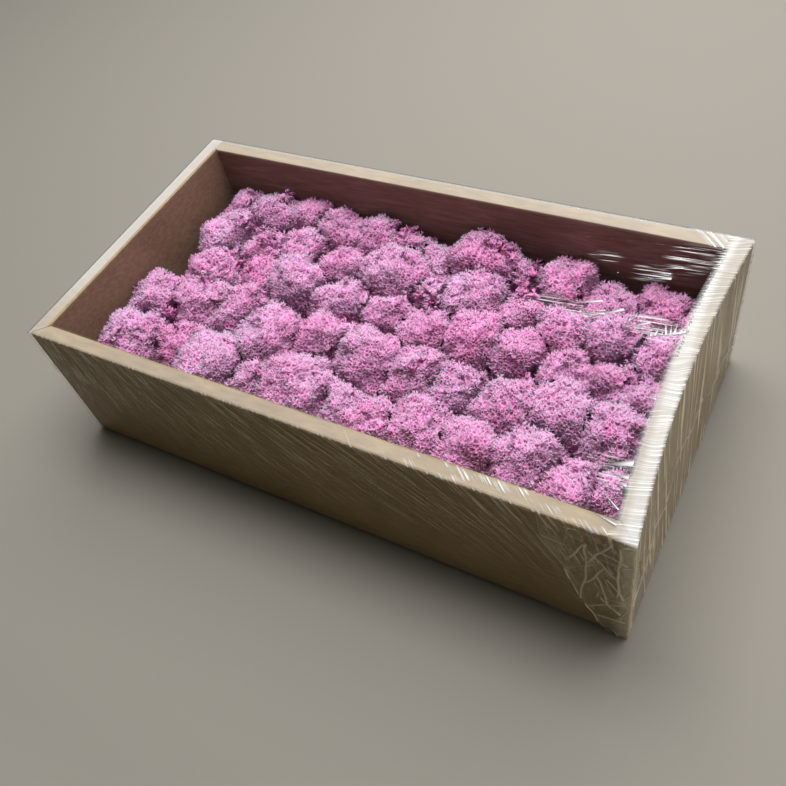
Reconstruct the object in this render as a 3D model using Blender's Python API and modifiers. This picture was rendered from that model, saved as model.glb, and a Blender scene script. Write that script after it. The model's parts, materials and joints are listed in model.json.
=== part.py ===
"""A cardboard tray packed with heads of preserved reindeer moss and wrapped in clear shrink film.

The tray is one folded sheet of corrugated board with double walls, the moss is a bed of
separate cushions standing side by side on its base, and the film goes over the top and the
four sides and folds under the base. The origin is under the middle of the tray, on the
surface that it stands on. +X runs along the length, +Z is up, and the lengths are in metres.
"""
import math

import bmesh
import bpy
from mathutils import Vector, noise

COLLECTION = "reindeer_moss_tray"
MM = 0.001

# The tray
TRAY_LENGTH = 0.320
TRAY_WIDTH = 0.169
TRAY_HEIGHT = 0.084
WALL_THICKNESS = 0.008
BASE_THICKNESS = 0.004
BOARD_ROUNDING = 0.0012
MITRE_WIDTH = 0.0007
MITRE_DEPTH = 0.003

# The shrinking film has drawn the middle of the right end wall inwards at its rim
END_WALL_BOW = 0.0055
BOW_CUTS = 7

# The film, and the gap that touching pieces keep
FILM_THICKNESS = 0.0003
FILM_FOLD_UNDER = 0.022
GAP = 0.0003

# The moss heads
DOME_SPREAD = 1.38
DOME_FLATNESS = 0.8
FOOT_SHARE = 0.62
SIDES = 12
RINGS = 8
LUMP_HEIGHT = 0.0045
LUMP_SIZE = 0.011

# Levels that follow from these
TRAY_LOW = FILM_THICKNESS + GAP
FLOOR = TRAY_LOW + BASE_THICKNESS
RIM = TRAY_LOW + TRAY_HEIGHT

# Each head: its name, the place of its crown from the tray's front left corner, its radius,
# and how far its crown lies under the rim, all in millimetres. The rows run from the back
# wall to the front wall, and each row from left to right.
HEADS = [
    ("moss_head_a01", 31, 149, 12, 20), ("moss_head_a02", 54, 147, 15, 18),
    ("moss_head_a03", 79, 150, 12, 17), ("moss_head_a04", 100, 147, 14, 18),
    ("moss_head_a05", 123, 149, 13, 19), ("moss_head_a06", 145, 147, 12, 21),
    ("moss_head_a07", 165, 141, 13, 24), ("moss_head_a08", 190, 148, 17, 15),
    ("moss_head_a09", 214, 145, 11, 23), ("moss_head_a10", 238, 143, 15, 18),
    ("moss_head_a11", 263, 141, 13, 25), ("moss_head_a12", 285, 144, 12, 24),
    ("moss_head_a13", 302, 138, 10, 25),
    ("moss_head_b01", 36, 125, 16, 17), ("moss_head_b02", 62, 121, 14, 20),
    ("moss_head_b03", 87, 126, 14, 18), ("moss_head_b04", 111, 120, 13, 21),
    ("moss_head_b05", 147, 126, 17, 17), ("moss_head_b06", 172, 116, 12, 21),
    ("moss_head_b07", 196, 122, 17, 17), ("moss_head_b08", 222, 118, 13, 21),
    ("moss_head_b09", 247, 115, 13, 21), ("moss_head_b10", 271, 119, 14, 20),
    ("moss_head_b11", 297, 114, 12, 22),
    ("moss_head_c01", 43, 97, 15, 20), ("moss_head_c02", 71, 99, 14, 20),
    ("moss_head_c03", 97, 101, 16, 16), ("moss_head_c04", 128, 97, 15, 20),
    ("moss_head_c05", 156, 98, 13, 22), ("moss_head_c06", 181, 92, 13, 21),
    ("moss_head_c07", 207, 97, 15, 20), ("moss_head_c08", 232, 93, 13, 21),
    ("moss_head_c09", 257, 90, 13, 22), ("moss_head_c10", 280, 95, 12, 24),
    ("moss_head_c11", 301, 89, 11, 22),
    ("moss_head_d01", 25, 63, 15, 17), ("moss_head_d02", 49, 72, 16, 18),
    ("moss_head_d03", 76, 73, 14, 19), ("moss_head_d04", 103, 62, 17, 17),
    ("moss_head_d05", 133, 70, 14, 19), ("moss_head_d06", 161, 66, 16, 19),
    ("moss_head_d07", 189, 68, 14, 20), ("moss_head_d08", 214, 65, 13, 19),
    ("moss_head_d09", 239, 63, 15, 19), ("moss_head_d10", 265, 67, 14, 18),
    ("moss_head_d11", 291, 64, 15, 18),
    ("moss_head_e01", 29, 33, 16, 16), ("moss_head_e02", 56, 41, 12, 20),
    ("moss_head_e03", 82, 34, 17, 18), ("moss_head_e04", 109, 33, 12, 22),
    ("moss_head_e05", 136, 36, 17, 16), ("moss_head_e06", 163, 38, 13, 22),
    ("moss_head_e07", 183, 31, 13, 19), ("moss_head_e08", 207, 37, 15, 19),
    ("moss_head_e09", 233, 33, 13, 20), ("moss_head_e10", 258, 38, 15, 18),
    ("moss_head_e11", 281, 31, 12, 20), ("moss_head_e12", 300, 35, 12, 25),
]


def clear_scene():
    """Remove every object that the scene starts with."""
    for thing in list(bpy.data.objects):
        bpy.data.objects.remove(thing, do_unlink=True)


def make_collection(name):
    """Make a collection in the scene."""
    collection = bpy.data.collections.new(name)
    bpy.context.scene.collection.children.link(collection)
    return collection


def make_material(name, colour, roughness, alpha=1.0):
    """Make a plain surface of one colour."""
    material = bpy.data.materials.new(name)
    material.use_nodes = True
    surface = material.node_tree.nodes["Principled BSDF"]
    surface.inputs["Base Color"].default_value = (*colour, 1.0)
    surface.inputs["Roughness"].default_value = roughness
    surface.inputs["Metallic"].default_value = 0.0
    surface.inputs["Alpha"].default_value = alpha
    material.diffuse_color = (*colour, alpha)
    return material


def make_object(name, mesh_data, collection, material=None):
    """Turn a bmesh into a named object."""
    mesh = bpy.data.meshes.new(name)
    mesh_data.to_mesh(mesh)
    mesh_data.free()
    thing = bpy.data.objects.new(name, mesh)
    collection.objects.link(thing)
    if material:
        mesh.materials.append(material)
    return thing


def hide_cutter(cutter):
    """Show a cutter as wires and leave it out of renders."""
    cutter.display_type = "WIRE"
    cutter.hide_render = True


def bow_at(y, z):
    """How far the right end wall stands in from straight at a place on it."""
    across = math.cos(math.pi * y / TRAY_WIDTH)
    up = (z - TRAY_LOW) / TRAY_HEIGHT
    return END_WALL_BOW * max(across, 0.0) * min(max(up, 0.0), 1.0)


def bowed_block(left, right, half_width, low, high):
    """A box whose right end is drawn inwards as the end wall is."""
    block = bmesh.new()
    bmesh.ops.create_cube(block, size=1.0)
    for corner in block.verts:
        corner.co.x = right if corner.co.x > 0 else left
        corner.co.y *= 2 * half_width
        corner.co.z = high if corner.co.z > 0 else low
    for number in range(1, BOW_CUTS):
        end = [face for face in block.faces if face.normal.x > 0.5]
        edges = {edge for face in end for edge in face.edges}
        corners = {corner for face in end for corner in face.verts}
        place = Vector((0, half_width * (2 * number / BOW_CUTS - 1), 0))
        bmesh.ops.bisect_plane(
            block, geom=end + list(edges) + list(corners), plane_co=place, plane_no=(0, 1, 0)
        )
    for corner in block.verts:
        if corner.co.x > 0:
            corner.co.x -= bow_at(corner.co.y, corner.co.z)
    bmesh.ops.recalc_face_normals(block, faces=block.faces)
    return block


def add_rounding(thing):
    """Round the folded edges of the board, or of the film that follows it."""
    rounding = thing.modifiers.new("rounded folds", "BEVEL")
    rounding.width = BOARD_ROUNDING
    rounding.segments = 2
    rounding.limit_method = "ANGLE"
    rounding.angle_limit = math.radians(50)


def cut_with(thing, cutter):
    """Take the cutter's shape out of a piece."""
    cut = thing.modifiers.new("cut " + cutter.name, "BOOLEAN")
    cut.operation = "DIFFERENCE"
    cut.solver = "EXACT"
    cut.object = cutter
    hide_cutter(cutter)


def make_mitre_cutter(side_x, side_y, collection):
    """A thin blade across one corner of the rim, where two folded walls meet."""
    blade = bmesh.new()
    bmesh.ops.create_cube(blade, size=1.0)
    reach = 3 * WALL_THICKNESS
    for corner in blade.verts:
        corner.co.x *= reach
        corner.co.y *= MITRE_WIDTH
        corner.co.z *= 2 * MITRE_DEPTH
    cutter = make_object(f"mitre_{side_x}_{side_y}", blade, collection)
    cutter.location = (
        side_x * (TRAY_LENGTH - WALL_THICKNESS) / 2,
        side_y * (TRAY_WIDTH - WALL_THICKNESS) / 2,
        RIM,
    )
    cutter.rotation_euler.z = math.atan2(side_y, side_x)
    return cutter


def make_tray(collection, cutters):
    """The board tray: base, four double walls, and slits where the folded rims meet."""
    half_length = TRAY_LENGTH / 2
    half_width = TRAY_WIDTH / 2
    board = make_material("kraft_board", (0.42, 0.32, 0.21), 0.85)
    outside = bowed_block(-half_length, half_length, half_width, TRAY_LOW, RIM)
    tray = make_object("cardboard_tray", outside, collection, board)
    inside = bowed_block(
        -half_length + WALL_THICKNESS,
        half_length - WALL_THICKNESS,
        half_width - WALL_THICKNESS,
        FLOOR,
        RIM + WALL_THICKNESS,
    )
    add_rounding(tray)
    cut_with(tray, make_object("tray_inside", inside, cutters))
    for side_x in (-1, 1):
        for side_y in (-1, 1):
            cut_with(tray, make_mitre_cutter(side_x, side_y, cutters))


def make_film(collection):
    """The shrink film: a thin skin over the top and sides, folded under the base."""
    clear = make_material("clear_film", (0.9, 0.9, 0.92), 0.12, alpha=0.25)
    low = TRAY_LOW - GAP
    skin = bowed_block(
        -TRAY_LENGTH / 2 - GAP, TRAY_LENGTH / 2 + GAP, TRAY_WIDTH / 2 + GAP, low, RIM + GAP
    )
    under = [face for face in skin.faces if face.normal.z < -0.5]
    bmesh.ops.inset_region(skin, faces=under, thickness=FILM_FOLD_UNDER, use_even_offset=True)
    bmesh.ops.delete(skin, geom=under, context="FACES")
    film = make_object("film_wrap", skin, collection, clear)
    add_rounding(film)
    wall = film.modifiers.new("film thickness", "SOLIDIFY")
    wall.thickness = FILM_THICKNESS
    wall.offset = 1.0
    wall.use_even_offset = True


def crown_of(head):
    """Where a head's crown is, in metres from the origin, with its dome's radius."""
    name, across, along, radius, depth = head
    place = Vector((
        across * MM - TRAY_LENGTH / 2,
        along * MM - TRAY_WIDTH / 2,
        RIM - depth * MM,
    ))
    return place, radius * MM * DOME_SPREAD


def lump_at(place):
    """The height of the soft lumps of the moss at a place."""
    return LUMP_HEIGHT * noise.noise(place / LUMP_SIZE)


def trim(body, place, normal):
    """Cut a head by a plane and keep the side that the normal points away from."""
    cut = bmesh.ops.bisect_plane(
        body,
        geom=body.verts[:] + body.edges[:] + body.faces[:],
        plane_co=place,
        plane_no=normal,
        clear_outer=True,
    )
    rim_edges = [item for item in cut["geom_cut"] if isinstance(item, bmesh.types.BMEdge)]
    if rim_edges:
        bmesh.ops.holes_fill(body, edges=rim_edges, sides=0)


def make_head(head, others, collection, material):
    """One cushion of moss: a lumpy dome on a stalk, pressed flat by its neighbours."""
    crown, radius = crown_of(head)
    body = bmesh.new()
    bmesh.ops.create_uvsphere(body, u_segments=SIDES, v_segments=RINGS, radius=radius)
    waist = crown.z - radius * DOME_FLATNESS
    foot = (waist - FLOOR) / FOOT_SHARE
    for corner in body.verts:
        corner.co.z *= DOME_FLATNESS if corner.co.z > 0 else foot / radius
        corner.co += Vector((crown.x, crown.y, waist))
    for corner in body.verts:
        outwards = Vector((corner.co.x - crown.x, corner.co.y - crown.y, corner.co.z - waist))
        if outwards.length > 0:
            corner.co += outwards.normalized() * lump_at(corner.co)
    trim(body, Vector((0, 0, FLOOR + GAP)), Vector((0, 0, -1)))

    # The walls. The end wall leans in, so the cut keeps to its rim, where it leans most.
    side_y = TRAY_WIDTH / 2 - WALL_THICKNESS - GAP
    left_x = -TRAY_LENGTH / 2 + WALL_THICKNESS + GAP
    nearest = min(abs(crown.y - radius), abs(crown.y + radius))
    if abs(crown.y) < radius:
        nearest = 0.0
    right_x = TRAY_LENGTH / 2 - WALL_THICKNESS - GAP - bow_at(nearest, RIM)
    trim(body, Vector((0, side_y, 0)), Vector((0, 1, 0)))
    trim(body, Vector((0, -side_y, 0)), Vector((0, -1, 0)))
    trim(body, Vector((left_x, 0, 0)), Vector((-1, 0, 0)))
    trim(body, Vector((right_x, 0, 0)), Vector((1, 0, 0)))

    # The neighbours. Two heads meet on the plane through the circle where their domes cross.
    for other in others:
        other_crown, other_radius = crown_of(other)
        apart = Vector((other_crown.x - crown.x, other_crown.y - crown.y, 0))
        distance = apart.length
        if distance > radius + other_radius + LUMP_HEIGHT * 2:
            continue
        share = (distance ** 2 + radius ** 2 - other_radius ** 2) / (2 * distance)
        normal = apart.normalized()
        trim(body, crown + normal * (share - GAP / 2), normal)

    bmesh.ops.remove_doubles(body, verts=body.verts, dist=0.0002)
    bmesh.ops.triangulate(body, faces=body.faces)
    bmesh.ops.recalc_face_normals(body, faces=body.faces)
    make_object(head[0], body, collection, material).data.shade_smooth()


def build():
    """Put the tray, the moss and the film together."""
    clear_scene()
    collection = make_collection(COLLECTION)
    cutters = make_collection("cutters")
    make_tray(collection, cutters)
    moss = make_material("dyed_moss", (0.55, 0.22, 0.38), 0.9)
    for head in HEADS:
        others = [other for other in HEADS if other is not head]
        make_head(head, others, collection, moss)
    make_film(collection)


build()
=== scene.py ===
"""Looks of a shrink-wrapped board tray of dyed reindeer moss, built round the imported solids."""
import json
import math
import random

import bpy
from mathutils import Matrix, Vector, noise
from mathutils.bvhtree import BVHTree

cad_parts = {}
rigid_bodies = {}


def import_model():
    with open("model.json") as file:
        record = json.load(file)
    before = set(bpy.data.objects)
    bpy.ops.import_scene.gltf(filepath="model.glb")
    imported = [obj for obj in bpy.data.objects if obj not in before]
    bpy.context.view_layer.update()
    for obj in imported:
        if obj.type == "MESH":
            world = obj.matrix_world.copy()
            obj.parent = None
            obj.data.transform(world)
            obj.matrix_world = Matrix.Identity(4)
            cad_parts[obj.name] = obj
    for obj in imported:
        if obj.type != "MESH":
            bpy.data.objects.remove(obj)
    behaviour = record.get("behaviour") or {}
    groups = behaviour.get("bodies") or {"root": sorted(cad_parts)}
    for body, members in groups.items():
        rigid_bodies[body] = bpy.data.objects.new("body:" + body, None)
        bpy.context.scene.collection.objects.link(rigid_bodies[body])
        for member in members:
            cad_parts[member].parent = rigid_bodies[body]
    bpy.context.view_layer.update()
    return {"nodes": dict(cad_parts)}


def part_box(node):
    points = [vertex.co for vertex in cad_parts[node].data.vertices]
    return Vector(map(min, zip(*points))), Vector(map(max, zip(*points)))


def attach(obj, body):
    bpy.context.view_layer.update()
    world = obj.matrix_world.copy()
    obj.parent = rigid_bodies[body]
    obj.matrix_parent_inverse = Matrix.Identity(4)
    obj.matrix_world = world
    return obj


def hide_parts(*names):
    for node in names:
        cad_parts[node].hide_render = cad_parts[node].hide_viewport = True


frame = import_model()
bpy.ops.object.select_all(action="DESELECT")

# The camera looks down on the tray over its front right corner, from a hand's height, and is
# tipped a little to one side, as a phone is.
camera_place = Vector((0.19338, -0.22888, 0.36603))
camera_target = Vector((0.02842, -0.03735, 0.06))
camera_roll = math.radians(-16.15)
camera_lens = 38.05

look = (camera_target - camera_place).to_track_quat("-Z", "Y").to_matrix()
bpy.ops.object.camera_add(location=camera_place)
camera = bpy.context.object
camera.rotation_euler = look.to_euler()
camera.rotation_euler.rotate_axis("Z", camera_roll)
camera.data.lens = camera_lens
camera.data.sensor_width = 36
camera.data.clip_start = 0.01
bpy.context.scene.camera = camera
bpy.context.scene.view_settings.view_transform = "Standard"
bpy.context.scene.view_settings.look = "None"


# The studio: a pale floor and backdrop, two broad lamps over and behind the tray that leave its
# front in soft shade, a weaker one from the right, and a strip that glints in the film. The broad
# lamps don't mirror in the film, which would hide the moss under a white veil.
def add_lamp(name, place, target, power, width, height):
    bpy.ops.object.light_add(type="AREA", location=place)
    lamp = bpy.context.object
    lamp.name = name
    lamp.data.shape = "RECTANGLE"
    lamp.data.size = width
    lamp.data.size_y = height
    lamp.data.energy = power
    lamp.rotation_euler = (Vector(target) - Vector(place)).to_track_quat("-Z", "Y").to_euler()
    return lamp


def add_node(tree, kind, values=None, **settings):
    node = tree.nodes.new(kind)
    for name, setting in settings.items():
        setattr(node, name, setting)
    for socket, value in (values or {}).items():
        node.inputs[socket].default_value = value
    return node


def link_nodes(tree, *links):
    for source, result, target, socket in links:
        tree.links.new(source.outputs[result], target.inputs[socket])


floor_size = 4
floor_tone = (0.24, 0.224, 0.195, 1)
sky_tone = (1, 0.86, 0.64, 1)
sky_strength = 0.05
backdrop_tone = (0.45, 0.43, 0.4, 1)
bpy.ops.mesh.primitive_plane_add(size=floor_size, location=(0, 0, 0))
floor = bpy.context.object
floor.name = "floor"
floor_paint = bpy.data.materials.new("pale_floor")
floor_paint.use_nodes = True
floor_surface = floor_paint.node_tree.nodes["Principled BSDF"]
floor_surface.inputs["Base Color"].default_value = floor_tone
floor_surface.inputs["Roughness"].default_value = 0.8
floor.data.materials.append(floor_paint)

tray_middle = (0, 0, 0.05)
back_right_film = (0.12, 0.1, 0.085)
top_lamp = add_lamp("top_lamp", (0.02, 0.2, 1.25), tray_middle, power=14, width=1.2, height=0.55)
window_lamp = add_lamp("window_lamp", (0, 0.55, 1.15), tray_middle, power=17, width=1.5, height=1.1)
for lamp in (top_lamp, window_lamp):
    lamp.visible_glossy = False
add_lamp("room_lamp", (0.86, -0.2, 0.3), tray_middle, power=1.1, width=0.7, height=0.4)
add_lamp("strip_lamp", (0.01, 0.68, 0.49), back_right_film, power=1.3, width=0.3, height=0.05)

world = bpy.data.worlds.new("soft_sky")
bpy.context.scene.world = world
world.use_nodes = True
world_tree = world.node_tree
sky = world_tree.nodes["Background"]
sky.inputs["Color"].default_value = sky_tone
sky.inputs["Strength"].default_value = sky_strength
backdrop = add_node(world_tree, "ShaderNodeBackground", {"Color": backdrop_tone})
seen_past_floor = add_node(world_tree, "ShaderNodeLightPath")
sky_or_backdrop = add_node(world_tree, "ShaderNodeMixShader")
link_nodes(
    world_tree,
    (seen_past_floor, "Is Camera Ray", sky_or_backdrop, "Fac"),
    (sky, "Background", sky_or_backdrop, 1),
    (backdrop, "Background", sky_or_backdrop, 2),
    (sky_or_backdrop, "Shader", world_tree.nodes["World Output"], "Surface"),
)


# The tray is one sheet of kraft board, folded into a base and four double walls. The folds
# leave soft edges on the rim, and the mitred flaps meet in a slit at each corner. Inside, below
# the rim, the board is painted darker and pinker: partly a stain of the moss's dye, partly painted
# shade and painted pink light bounced from the moss.
tray_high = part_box("cardboard_tray")[1]
wall = 0.008
inner_face = 0.0068
rim_rounding = 0.0012
fibre_stretch = (90, 320, 900)
pale_board = (0.375, 0.272, 0.138, 1)
dark_board = (0.26, 0.178, 0.083, 1)
cloud_shade = (0.82, 0.8, 0.78, 1)
dye_stain_and_shade = (0.82, 0.72, 1, 1)


def add_ramp(tree, *stops):
    node = tree.nodes.new("ShaderNodeValToRGB")
    (first_place, first_tone), *between, (last_place, last_tone) = stops
    first, last = node.color_ramp.elements
    first.position = first_place
    first.color = first_tone
    last.position = last_place
    last.color = last_tone
    for place, tone in between:
        node.color_ramp.elements.new(place).color = tone
    return node


def kraft_paint():
    paint = bpy.data.materials.new("kraft_board")
    paint.use_nodes = True
    tree = paint.node_tree
    surface = tree.nodes["Principled BSDF"]
    surface.inputs["Roughness"].default_value = 0.82
    surface.inputs["Specular IOR Level"].default_value = 0.1
    place = add_node(tree, "ShaderNodeTexCoord")
    stretch = add_node(tree, "ShaderNodeMapping", {"Scale": fibre_stretch})
    fibres = add_node(tree, "ShaderNodeTexNoise", {"Scale": 1, "Detail": 6})
    clouds = add_node(tree, "ShaderNodeTexNoise", {"Scale": 28, "Detail": 4})
    fibre_tone = add_ramp(tree, (0.3, dark_board), (0.72, pale_board))
    cloud_tone = add_ramp(tree, (0.35, cloud_shade), (0.7, (1, 1, 1, 1)))
    both = add_node(tree, "ShaderNodeMix", data_type="RGBA", blend_type="MULTIPLY")
    both.inputs["Factor"].default_value = 1
    # Inside the walls and below the rim the board is multiplied by a darker, pinker tone: partly dye
    # stain, partly painted shade and painted bounce light
    centred = add_node(tree, "ShaderNodeMapping", {"Location": (0, 0, -tray_high.z)})
    from_centre = add_node(tree, "ShaderNodeVectorMath", operation="ABSOLUTE")
    apart = add_node(tree, "ShaderNodeSeparateXYZ")
    inside_x = add_node(tree, "ShaderNodeMath", {1: tray_high.x - inner_face}, operation="LESS_THAN")
    inside_y = add_node(tree, "ShaderNodeMath", {1: tray_high.y - inner_face}, operation="LESS_THAN")
    below_rim = add_node(tree, "ShaderNodeMath", {1: rim_rounding}, operation="GREATER_THAN")
    inside = add_node(tree, "ShaderNodeMath", operation="MULTIPLY")
    stain_and_shade_mask = add_node(tree, "ShaderNodeMath", operation="MULTIPLY")
    dye_and_shade = add_node(tree, "ShaderNodeMix", {"B": dye_stain_and_shade}, data_type="RGBA", blend_type="MULTIPLY")
    bump = add_node(tree, "ShaderNodeBump", {"Strength": 0.25, "Distance": 0.0002})
    link_nodes(
        tree,
        (place, "Object", stretch, "Vector"),
        (stretch, "Vector", fibres, "Vector"),
        (place, "Object", clouds, "Vector"),
        (fibres, "Fac", fibre_tone, "Fac"),
        (clouds, "Fac", cloud_tone, "Fac"),
        (fibre_tone, "Color", both, "A"),
        (cloud_tone, "Color", both, "B"),
        (place, "Object", centred, "Vector"),
        (centred, "Vector", from_centre, 0),
        (from_centre, "Vector", apart, "Vector"),
        (apart, "X", inside_x, 0),
        (apart, "Y", inside_y, 0),
        (apart, "Z", below_rim, 0),
        (inside_x, "Value", inside, 0),
        (inside_y, "Value", inside, 1),
        (inside, "Value", stain_and_shade_mask, 0),
        (below_rim, "Value", stain_and_shade_mask, 1),
        (stain_and_shade_mask, "Value", dye_and_shade, "Factor"),
        (both, "Result", dye_and_shade, "A"),
        (dye_and_shade, "Result", surface, "Base Color"),
        (fibres, "Fac", bump, "Height"),
        (bump, "Normal", surface, "Normal"),
    )
    return paint


kraft = kraft_paint()
frame["nodes"]["cardboard_tray"].data.materials.clear()
frame["nodes"]["cardboard_tray"].data.materials.append(kraft)


# A sprig is the smallest tuft of the moss: a whorl of arms round a hollow. Each arm sends one
# point up and one to its side. Four kinds are modelled, and every tuft is a copy of one of them.
sprig_kinds = 4
sprig_seed = 40
sprig_root = -0.0009
sprig_reach = 0.0026
arms = 5
arm_stray = 0.25
arm_lean = (40, 62)
arm_long = (0.0024, 0.0031)
arm_thick = 0.00045
upward_lean = (30, 50)
upward_stray = 0.6
upward_fork = (0.32, 0.45)
upward_long = (0.0014, 0.0020)
upward_thick = 0.00037
side_turn = (0.7, 1.1)
side_lean = (-8, 12)
side_fork = (0.45, 0.6)
side_long = (0.0011, 0.0016)
side_thick = 0.00035


def add_strand(start, end, thick):
    along = end - start
    bpy.ops.mesh.primitive_cone_add(
        vertices=3, radius1=thick, radius2=0, depth=along.length, end_fill_type="NOTHING",
        location=(start + end) / 2, rotation=along.to_track_quat("Z", "X").to_euler(),
    )


def heading_at(lean, turn):
    return Vector((math.sin(lean) * math.cos(turn), math.sin(lean) * math.sin(turn), math.cos(lean)))


def make_sprig(kind):
    chance = random.Random(sprig_seed + kind)
    root = Vector((0, 0, sprig_root))
    bpy.ops.object.select_all(action="DESELECT")
    for number in range(arms):
        turn = math.tau * (number + chance.uniform(-arm_stray, arm_stray)) / arms
        lean = math.radians(chance.uniform(*arm_lean))
        arm = heading_at(lean, turn) * chance.uniform(*arm_long)
        steeper = lean - math.radians(chance.uniform(*upward_lean))
        upward = heading_at(steeper, turn + chance.uniform(-upward_stray, upward_stray))
        aside = chance.choice((-1, 1)) * chance.uniform(*side_turn)
        sideways = heading_at(lean + math.radians(chance.uniform(*side_lean)), turn + aside)
        add_strand(root, root + arm, arm_thick)
        if number == 0:
            sprig = bpy.context.object
            sprig.name = f"sprig_{kind}"
            bpy.ops.object.transform_apply(location=True, rotation=True, scale=True)
            bpy.ops.object.mode_set(mode="EDIT")
        fork = root + arm * chance.uniform(*upward_fork)
        add_strand(fork, fork + upward * chance.uniform(*upward_long), upward_thick)
        fork = root + arm * chance.uniform(*side_fork)
        add_strand(fork, fork + sideways * chance.uniform(*side_long), side_thick)
    bpy.ops.object.mode_set(mode="OBJECT")
    tip = sprig.data.attributes.new("tip", "FLOAT", "POINT")
    for corner in sprig.data.vertices:
        tip.data[corner.index].value = min((corner.co - root).length / sprig_reach, 1)
    bpy.ops.object.shade_smooth()
    return sprig


sprigs = bpy.data.collections.new("sprigs")
bpy.context.scene.collection.children.link(sprigs)
for kind in range(sprig_kinds):
    made = make_sprig(kind)
    for home in list(made.users_collection):
        home.objects.unlink(made)
    sprigs.objects.link(made)


# The dyed moss: faded at its tips, where the dye stayed thin, and darker, hot pink deep inside:
# partly dye that pooled there, partly painted shade deep in the moss. How warm the pink is changes
# from head to head and in patches.
faded_lilac = (0.475, 0.435, 0.52, 1)
faded_rose = (0.515, 0.37, 0.475, 1)
faded_pink = (0.56, 0.24, 0.40, 1)
middle_pink = (0.59, 0.28, 0.49, 1)
cool_magenta = (0.62, 0.09, 0.36, 1)
warm_magenta = (0.62, 0.075, 0.30, 1)


def moss_paint():
    paint = bpy.data.materials.new("dyed_moss")
    paint.use_nodes = True
    tree = paint.node_tree
    surface = tree.nodes["Principled BSDF"]
    surface.inputs["Roughness"].default_value = 0.75
    surface.inputs["Specular IOR Level"].default_value = 0.05
    surface.subsurface_method = "BURLEY"
    surface.inputs["Subsurface Weight"].default_value = 0.25
    surface.inputs["Subsurface Radius"].default_value = (1.0, 0.3, 0.65)
    surface.inputs["Subsurface Scale"].default_value = 0.001
    tip = add_node(tree, "ShaderNodeAttribute", attribute_name="tip")
    warmth = add_node(tree, "ShaderNodeAttribute", attribute_name="warmth")
    faded = add_ramp(tree, (0.05, faded_lilac), (0.45, faded_rose), (0.95, faded_pink))
    # The deep colours, darker than the faded tips, are partly pooled dye and partly painted shade deep in
    # the moss
    pooled_dye_and_shade = add_ramp(tree, (0, cool_magenta), (1, warm_magenta))
    rise = add_node(tree, "ShaderNodeMapRange", {"From Min": 0, "From Max": 0.4})
    faded_end = add_node(tree, "ShaderNodeMapRange", {"From Min": 0.42, "From Max": 0.9})
    inner = add_node(tree, "ShaderNodeMix", data_type="RGBA")
    inner.inputs["B"].default_value = middle_pink
    outer = add_node(tree, "ShaderNodeMix", data_type="RGBA")
    link_nodes(
        tree,
        (tip, "Fac", rise, "Value"),
        (warmth, "Fac", faded, "Fac"),
        (warmth, "Fac", pooled_dye_and_shade, "Fac"),
        (rise, "Result", inner, "Factor"),
        (pooled_dye_and_shade, "Color", inner, "A"),
        (tip, "Fac", faded_end, "Value"),
        (faded_end, "Result", outer, "Factor"),
        (inner, "Result", outer, "A"),
        (faded, "Color", outer, "B"),
        (outer, "Result", surface, "Base Color"),
    )
    return paint


# A head is a lumpy cushion under a dense coat of sprigs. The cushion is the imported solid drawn
# in by the sprigs' height, and the sprigs bring it out again to its real size.
coat_height = 0.0027
sprig_spacing = 0.0026
sprigs_tried = 5
sprig_lean = 0.4
smallest = 0.85
largest = 1.2
full_turn = 6.28
crease_size = 1.35
lace_cell = 0.0024
lace_depth = 0.0013
lace_gap = 0.42
lace_tone = 0.58


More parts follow.
